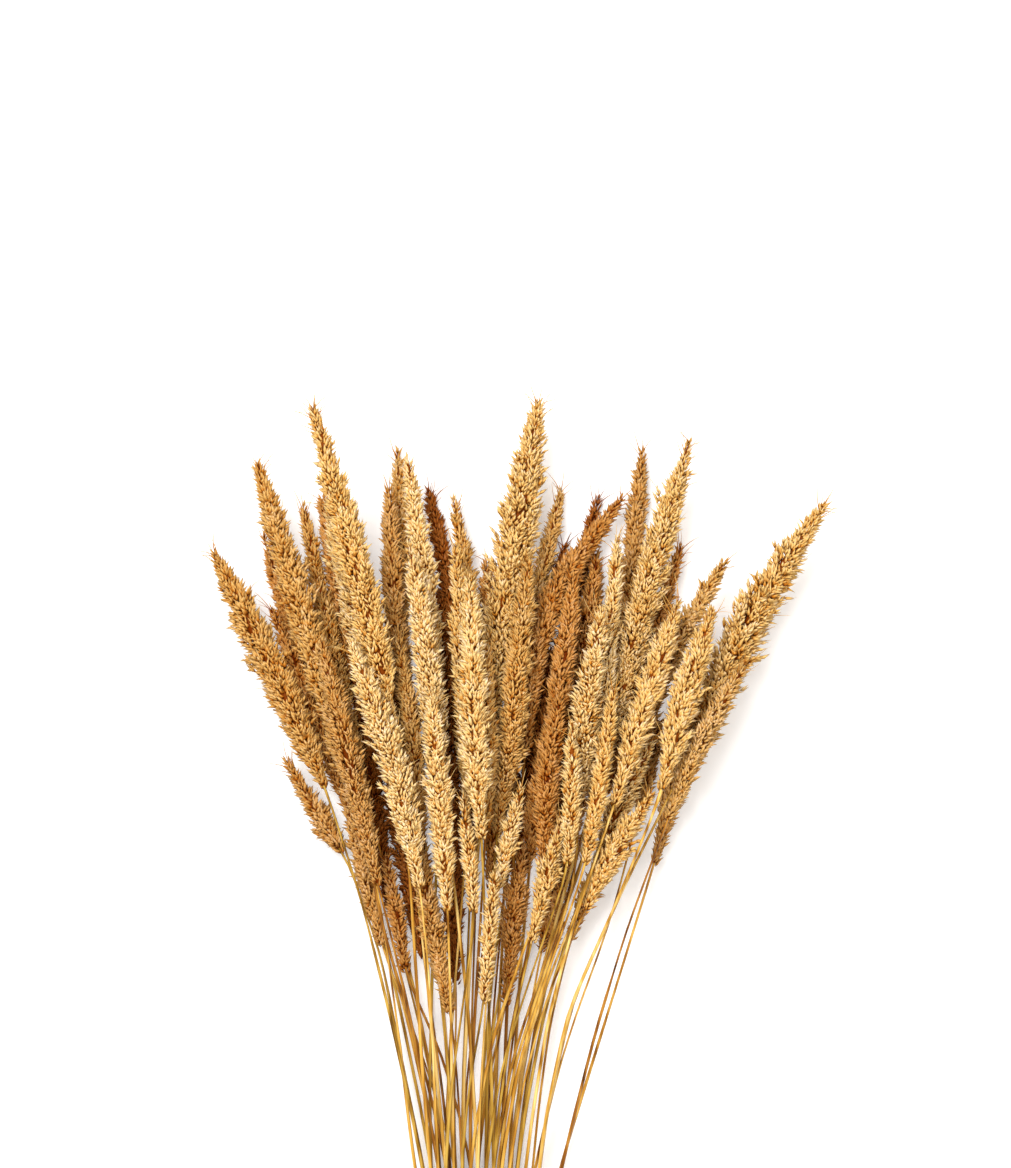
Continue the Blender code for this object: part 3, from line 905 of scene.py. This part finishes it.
# The middle colour of each of the record's straw slots, and where its shades lie on the ramp.
strawColours = {
    "straw_pale": (0.66, 0.420, 0.144),
    "straw_honey": (0.63, 0.370, 0.104),
    "straw_gold": (0.53, 0.282, 0.071),
    "straw_tan": (0.48, 0.238, 0.058),
    "straw_brown": (0.46, 0.200, 0.042),
    # The dark slot's colour is partly the straw's own and partly painted shade for the heads that lie deep
    # in the bunch.
    "straw_dark": (0.26, 0.074, 0.010),
}
# From the root of a spikelet to its point. The dark root and deep stops are partly the straw's own colour
# and partly painted shade between the spikelets.
strawShades = (
    (0.06, (0.28, 0.09, 0.010)),
    (0.26, (0.80, 0.50, 0.15)),
    (0.50, (1.0, 1.0, 1.0)),
    (0.78, (1.20, 1.34, 1.75)),
    (1.0, (1.24, 1.54, 3.00)),
)
strawLook = {
    "brightest": 0.92,
    "veins": (60.0, 2.5, 1.0),  # how many there are across the map and along it
    "veinDetail": 1.0,
    "veinTone": 0.22,
    "ownTone": 0.70,
    # The darker root is partly the straw's own colour and partly painted shade between the spikelets.
    "alongTone": 0.72,  # how much paler the point is than the root
    "toneLess": 0.19,
    "roughness": (0.25, 0.45),  # by the veins, and least
    "specular": 0.16,
    "tint": (1.0, 0.66, 0.26),
}


def materialBench(name):
    material = bpy.data.materials.new(name)
    material.use_nodes = True
    bench = NodeBench(material.node_tree)
    return material, bench, material.node_tree.nodes["Principled BSDF"]


def ramp(bench, factor, stops):
    node = bench.add("ShaderNodeValToRGB", {}, {"Fac": factor})
    marks = node.color_ramp.elements
    while len(marks) < len(stops):
        marks.new(0.5)
    for mark, (spot, colour) in zip(marks, stops):
        mark.position = spot
        mark.color = (*colour, 1)
    return node.outputs["Color"]


# Noise on the map or on the piece's own place, stretched by a size for each axis.
def stretchedNoise(bench, place, stretch, detail, dimensions):
    plugs = {"Vector": place, "Scale": stretch}
    place = bench.add("ShaderNodeMapping", {}, plugs).outputs["Vector"]
    plugs = {"Vector": place, "Scale": 1.0, "Detail": detail}
    return bench.add("ShaderNodeTexNoise", {"noise_dimensions": dimensions}, plugs).outputs["Fac"]


def grain(bench, scale, detail):
    place = bench.add("ShaderNodeTexCoord").outputs["Object"]
    plugs = {"Vector": place, "Scale": scale, "Detail": detail}
    return bench.add("ShaderNodeTexNoise", {}, plugs).outputs["Fac"]


def bumpOf(bench, height, strength, distance):
    plugs = {"Height": height, "Strength": strength, "Distance": distance}
    return bench.add("ShaderNodeBump", {}, plugs).outputs["Normal"]


# Spikelets: each has its own paleness, a darker root, a pale point and fine veins. The paleness holds
# painted shade deep in a head and between lumps, and the darker root is partly the straw's own colour and
# partly painted shade between the spikelets.
def makeHeadStraw(slotName):
    look = strawLook
    stops = []
    for spot, shade in strawShades:
        colour = [min(c * s, look["brightest"]) for c, s in zip(strawColours[slotName], shade)]
        stops.append((spot, colour))
    material, bench, shader = materialBench(slotName + "_head")
    place = bench.add("ShaderNodeUVMap", {"uv_map": uvName}).outputs["UV"]
    u, v, _ = bench.add("ShaderNodeSeparateXYZ", {}, {0: place}).outputs
    veins = stretchedNoise(bench, place, look["veins"], look["veinDetail"], "2D")
    tone = bench.math("SUBTRACT", u, mapping["toneFrom"])
    tone = bench.times(tone, look["ownTone"] / mapping["toneSpan"])
    tone = bench.timesPlus(v, look["alongTone"], tone)
    tone = bench.math("SUBTRACT", tone, look["toneLess"])
    tone = bench.timesPlus(bench.math("SUBTRACT", veins, 0.5), look["veinTone"], tone)
    bench.plug(shader, {
        "Base Color": ramp(bench, tone, stops),
        "Roughness": bench.timesPlus(veins, *look["roughness"]),
        "Specular IOR Level": look["specular"],
        "Specular Tint": (*look["tint"], 1),
    })
    return material


# Stems: golden and glossy, streaked along and blotched.
stemRamps = {
    "pale": ((0.20, 0.070, 0.003), (0.58, 0.31, 0.045), (0.88, 0.63, 0.22)),
    "gold": ((0.14, 0.040, 0.002), (0.46, 0.21, 0.022), (0.74, 0.45, 0.09)),
    "olive": ((0.10, 0.040, 0.002), (0.34, 0.175, 0.018), (0.60, 0.38, 0.07)),
    "brown": ((0.06, 0.014, 0.001), (0.24, 0.080, 0.007), (0.46, 0.21, 0.030)),
}
stemLook = {
    "stops": (0.58, 0.75, 0.97),
    "streaks": (52.0, 7.0, 1.0),  # how many there are across the map and along it
    "streakDetail": 3.0,
    "streakTone": 0.45,
    "blotches": (300.0, 11.0, 300.0),
    "blotchDetail": 2.0,
    "blotchTone": 1.1,
    "roughness": (0.3, 0.22),  # by the streaks, and least
    "specular": 0.5,
    "tint": (1.0, 0.72, 0.32),
    "bump": (0.25, 0.1 * mm),
}
pithLook = {
    "grain": (3000.0, 2.0),
    "stops": ((0.35, (0.05, 0.022, 0.006)), (0.65, (0.20, 0.11, 0.035))),
    "roughness": 0.9,
}


def makeStemStraw(name):
    look = stemLook
    material, bench, shader = materialBench("stem_" + name)
    place = bench.add("ShaderNodeUVMap", {"uv_map": uvName}).outputs["UV"]
    streaks = stretchedNoise(bench, place, look["streaks"], look["streakDetail"], "2D")
    place = bench.add("ShaderNodeTexCoord").outputs["Object"]
    blotches = stretchedNoise(bench, place, look["blotches"], look["blotchDetail"], "3D")
    tone = bench.times(streaks, look["streakTone"])
    tone = bench.timesPlus(blotches, look["blotchTone"], tone)
    bench.plug(shader, {
        "Base Color": ramp(bench, tone, list(zip(look["stops"], stemRamps[name]))),
        "Roughness": bench.timesPlus(streaks, *look["roughness"]),
        "Specular IOR Level": look["specular"],
        "Specular Tint": (*look["tint"], 1),
        "Normal": bumpOf(bench, streaks, *look["bump"]),
    })
    return material


def makePith():
    material, bench, shader = materialBench("pith")
    cells = grain(bench, *pithLook["grain"])
    colour = ramp(bench, cells, pithLook["stops"])
    bench.plug(shader, {"Base Color": colour, "Roughness": pithLook["roughness"]})
    return material


# What differs from stalk to stalk: what most have, then what some have instead, by number.
# Under that is what is drawn for every stalk: from, to.
stalkTraits = {
    "shag": (0.42, {1: 0.4, 2: 0.35, 11: 0.6, 26: 0.4, 49: 0.4, 52: 0.4, 56: 0.4, 57: 0.5, 58: 0.4}),
    "parting": (0.20, {
        1: 0.7, 6: 0.4, 7: 0.6, 11: 0.8, 19: 0.5, 20: 0.5, 46: 0.6, 52: 0.7, 53: 0.7, 54: 0.7, 56: 0.7,
    }),
    "lumps": (0.8, {11: 1.3, 57: 1.2, 58: 1.0}),
    "hairShare": (0.04, {1: 0.08, 2: 0.08, 49: 0.07, 57: 0.07}),
    "fuller": (1.0, {1: 1.08, 27: 1.12, 49: 1.1, 58: 1.3, 59: 1.2}),
    "paler": (0.0, {
        1: -0.10, 2: -0.10, 5: -0.08, 49: 0.08, 51: 0.08, 52: 0.08, 54: 0.06, 56: 0.06, 58: 0.14, 59: 0.12,
    }),
    "paleness": 0.30,
    "palenessDraw": (-0.05, 0.05),
    "leanDraw": (-0.06, 0.06),
    "sizeDraw": (0.92, 1.08),
    "plumpnessDraw": (1.1, 1.4),
    "seed": 40,
    "seedStep": 100,
    "paleSlots": ("straw_pale", "straw_honey"),  # their stems are never brown
    "paleStems": ("pale", "gold", "olive"),
    "stems": ("gold", "olive", "brown"),
}


def traitOf(number, name):
    usual, others = stalkTraits[name]
    return others.get(number, usual)


# All stalks by number, the node that each replaces, and its slot.
def readStalks():
    slots = {part["node"]: part["material_slot"] for part in frame["record"]["subparts"]}
    nodes = {int(name[-2:]): name for name in sorted(frame["nodes"]) if name.startswith("stalk_")}
    stalks = {number: readStalk(node) for number, node in nodes.items()}
    tones = {number: slots[node] for number, node in nodes.items()}
    for number, (slotName, *shape) in lowStalks["heads"].items():
        stalks[number] = lowStalk(shape, stalks)
        tones[number] = slotName
    print(f"{len(stalks)} stalks read")
    return stalks, nodes, tones


def growStalks():
    stalks, nodes, tones = readStalks()
    tree = makeStalkTree(makeSpikelets(), makeHairs())
    headStraw = {name: makeHeadStraw(name) for name in strawColours}
    stemStraw = {name: makeStemStraw(name) for name in stemRamps}
    pith = makePith()
    total = 0
    for number, stalk in stalks.items():
        draw = random.Random(stalkTraits["seed"] + number)
        sheathe(stalk, draw)
        stalk["reach"] = stalk["reach"] * traitOf(number, "fuller")
        strands, area, fullness = strandsOf(stalk)
        spikelets = area / headSettings["spikeletArea"]
        tone = tones[number]
        stems = stalkTraits["paleStems" if tone in stalkTraits["paleSlots"] else "stems"]
        paleness = stalkTraits["paleness"]
        mesh = runTree(tree, strands, {
            "Branches": round(spikelets / headSettings["spikeletsOnABranch"] / fullness),
            "Spikelets on a branch": headSettings["spikeletsOnABranch"],
            "Full reach": float(stalk["reach"].max()),
            "Points out": headSettings["pointsOut"],
            "Branch run": headSettings["branchRun"],
            "Besides": headSettings["besides"],
            "Lean": headSettings["lean"] + draw.uniform(*stalkTraits["leanDraw"]),
            "Shag": traitOf(number, "shag"),
            "Parting": traitOf(number, "parting"),
            "Lumps": traitOf(number, "lumps"),
            "Hair share": traitOf(number, "hairShare"),
            "Paleness": paleness + draw.uniform(*stalkTraits["palenessDraw"]) + traitOf(number, "paler"),
            "Size": draw.uniform(*stalkTraits["sizeDraw"]),
            "Plumpness": draw.uniform(*stalkTraits["plumpnessDraw"]),
            "Seed": stalkTraits["seedStep"] * number,
            "Head straw": headStraw[tone],
            "Stem straw": stemStraw[draw.choice(stems)],
            "Pith": pith,
        })
        mesh.name = f"grass_{number:02d}"
        total += sum(len(face.vertices) - 2 for face in mesh.polygons)
        showPiece(f"grass_{number:02d}", mesh, nodes.get(number))
    print(f"stalks grown, {total} triangles")


# The tie: three plies of twine twisted together and wound side by side round the stems.
tieSettings = {
    "turns": 6,
    "pointsATurn": 40,
    "plies": 3,
    "twistsATurn": 9,
    "plySides": 6,
    "plyRadius": 0.46 * mm,
    "twistRadius": 0.44 * mm,
    "solidSides": 24,  # the solid's flats lie nearer to its axis than its corners
    "inset": 0.05 * mm,
    "fibres": (1800.0, 3.0),
    "colours": ((0.25, (0.22, 0.13, 0.055)), (0.55, (0.46, 0.32, 0.17)), (0.9, (0.66, 0.52, 0.33))),
    "roughness": 0.85,
    "bump": (0.5, 0.15 * mm),
}


def makeTwine():
    material, bench, shader = materialBench("twine")
    fibres = grain(bench, *tieSettings["fibres"])
    bench.plug(shader, {
        "Base Color": ramp(bench, fibres, tieSettings["colours"]),
        "Roughness": tieSettings["roughness"],
        "Normal": bumpOf(bench, fibres, *tieSettings["bump"]),
    })
    return material


def windTie():
    low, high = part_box("tie")
    centre = (low + high) / 2
    ply = tieSettings["plyRadius"]
    twist = tieSettings["twistRadius"]
    flats = (high.x - low.x) / 2 * math.cos(math.pi / tieSettings["solidSides"])
    outer = flats - ply - twist - tieSettings["inset"]
    width = high.y - low.y - 2 * (ply + twist)
    up = Vector((0, 1, 0))
    mesh = bmesh.new()
    count = tieSettings["turns"] * tieSettings["pointsATurn"]
    for strand in range(tieSettings["plies"]):
        rings = []
        for step in range(count + 1):
            share = step / count
            angle = 2 * math.pi * tieSettings["turns"] * share
            roll = angle * tieSettings["twistsATurn"] + 2 * math.pi * strand / tieSettings["plies"]
            out = Vector((math.cos(angle), 0, math.sin(angle)))
            rise = twist * math.sin(roll) + width * (share - 0.5)
            middle = centre + out * (outer + twist * math.cos(roll)) + up * rise
            ring = []
            for k in range(tieSettings["plySides"]):
                turn = 2 * math.pi * k / tieSettings["plySides"]
                spot = middle + (out * math.cos(turn) + up * math.sin(turn)) * ply
                ring.append(mesh.verts.new(spot))
            rings.append(ring)
        mesh.faces.new(rings[0])
        for before, after in zip(rings, rings[1:]):
            bridge(mesh, before, after)
        mesh.faces.new(rings[-1])
    bmesh.ops.recalc_face_normals(mesh, faces=mesh.faces[:])
    for face in mesh.faces:
        face.smooth = True
    data = bpy.data.meshes.new("twine_tie")
    mesh.to_mesh(data)
    mesh.free()
    data.materials.append(makeTwine())
    showPiece("twine_tie", data, "tie")
    print("tie wound")


# The camera looks straight down, and a pixel covers what it covers in the photo at this level.
cameraSettings = {
    "level": 33 * mm,
    "distance": 2.0,
}


def placeCamera():
    wide = photo["wide"] * photo["pixel"]
    high = photo["high"] * photo["pixel"]
    low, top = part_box("tie")
    axis = (low.x + top.x) / 2
    data = bpy.data.cameras.new("camera")
    data.lens = data.sensor_width * cameraSettings["distance"] / high
    camera = bpy.data.objects.new("camera", data)
    x = axis + wide / 2 - photo["axisPixel"] * photo["pixel"]
    y = cadLow.y + photo["foot"] + high / 2
    camera.location = (x, y, cameraSettings["level"] + cameraSettings["distance"])
    bpy.context.scene.collection.objects.link(camera)
    bpy.context.scene.camera = camera
    print("camera placed")


stageSettings = {
    "floorSize": 8.0,
    "floorColour": (0.76, 0.76, 0.76),
    "floorRoughness": 0.9,
    "floorSpecular": 0.1,
    "floorGlow": 0.34,
    "worldColour": (1.0, 0.87, 0.70),
    "worldStrength": 0.30,
    "lights": {  # place, size, power
        "key": ((-0.50, 0.80, 1.85), 1.1, 57.0),
        "fill": ((1.1, 0.1, 1.8), 1.6, 19.0),
    },
    "lightAim": (0, 0.17, 0.03),
}


def addLight(name, place, size, power):
    data = bpy.data.lights.new(name, "AREA")
    data.size = size
    data.energy = power
    light = bpy.data.objects.new(name, data)
    light.location = place
    aim = Vector(stageSettings["lightAim"]) - Vector(place)
    light.rotation_euler = aim.to_track_quat("-Z", "Y").to_euler()
    bpy.context.scene.collection.objects.link(light)


def layFloor():
    half = stageSettings["floorSize"] / 2
    corners = [(-half, -half, 0), (half, -half, 0), (half, half, 0), (-half, half, 0)]
    mesh = bpy.data.meshes.new("floor")
    mesh.from_pydata(corners, [], [(0, 1, 2, 3)])
    material, bench, shader = materialBench("floor")
    bench.plug(shader, {
        "Base Color": (*stageSettings["floorColour"], 1),
        "Roughness": stageSettings["floorRoughness"],
        "Specular IOR Level": stageSettings["floorSpecular"],
        "Emission Color": (1, 1, 1, 1),
        "Emission Strength": stageSettings["floorGlow"],
    })
    mesh.materials.append(material)
    floor = bpy.data.objects.new("floor", mesh)
    bpy.context.scene.collection.objects.link(floor)


def setStage():
    layFloor()
    world = bpy.data.worlds.new("studio")
    world.use_nodes = True
    background = world.node_tree.nodes["Background"]
    background.inputs["Color"].default_value = (*stageSettings["worldColour"], 1)
    background.inputs["Strength"].default_value = stageSettings["worldStrength"]
    bpy.context.scene.world = world
    for name, (place, size, power) in stageSettings["lights"].items():
        addLight(name, place, size, power)
    bpy.context.scene.view_settings.view_transform = "Standard"
    print("stage set")


growStalks()
windTie()
placeCamera()
setStage()
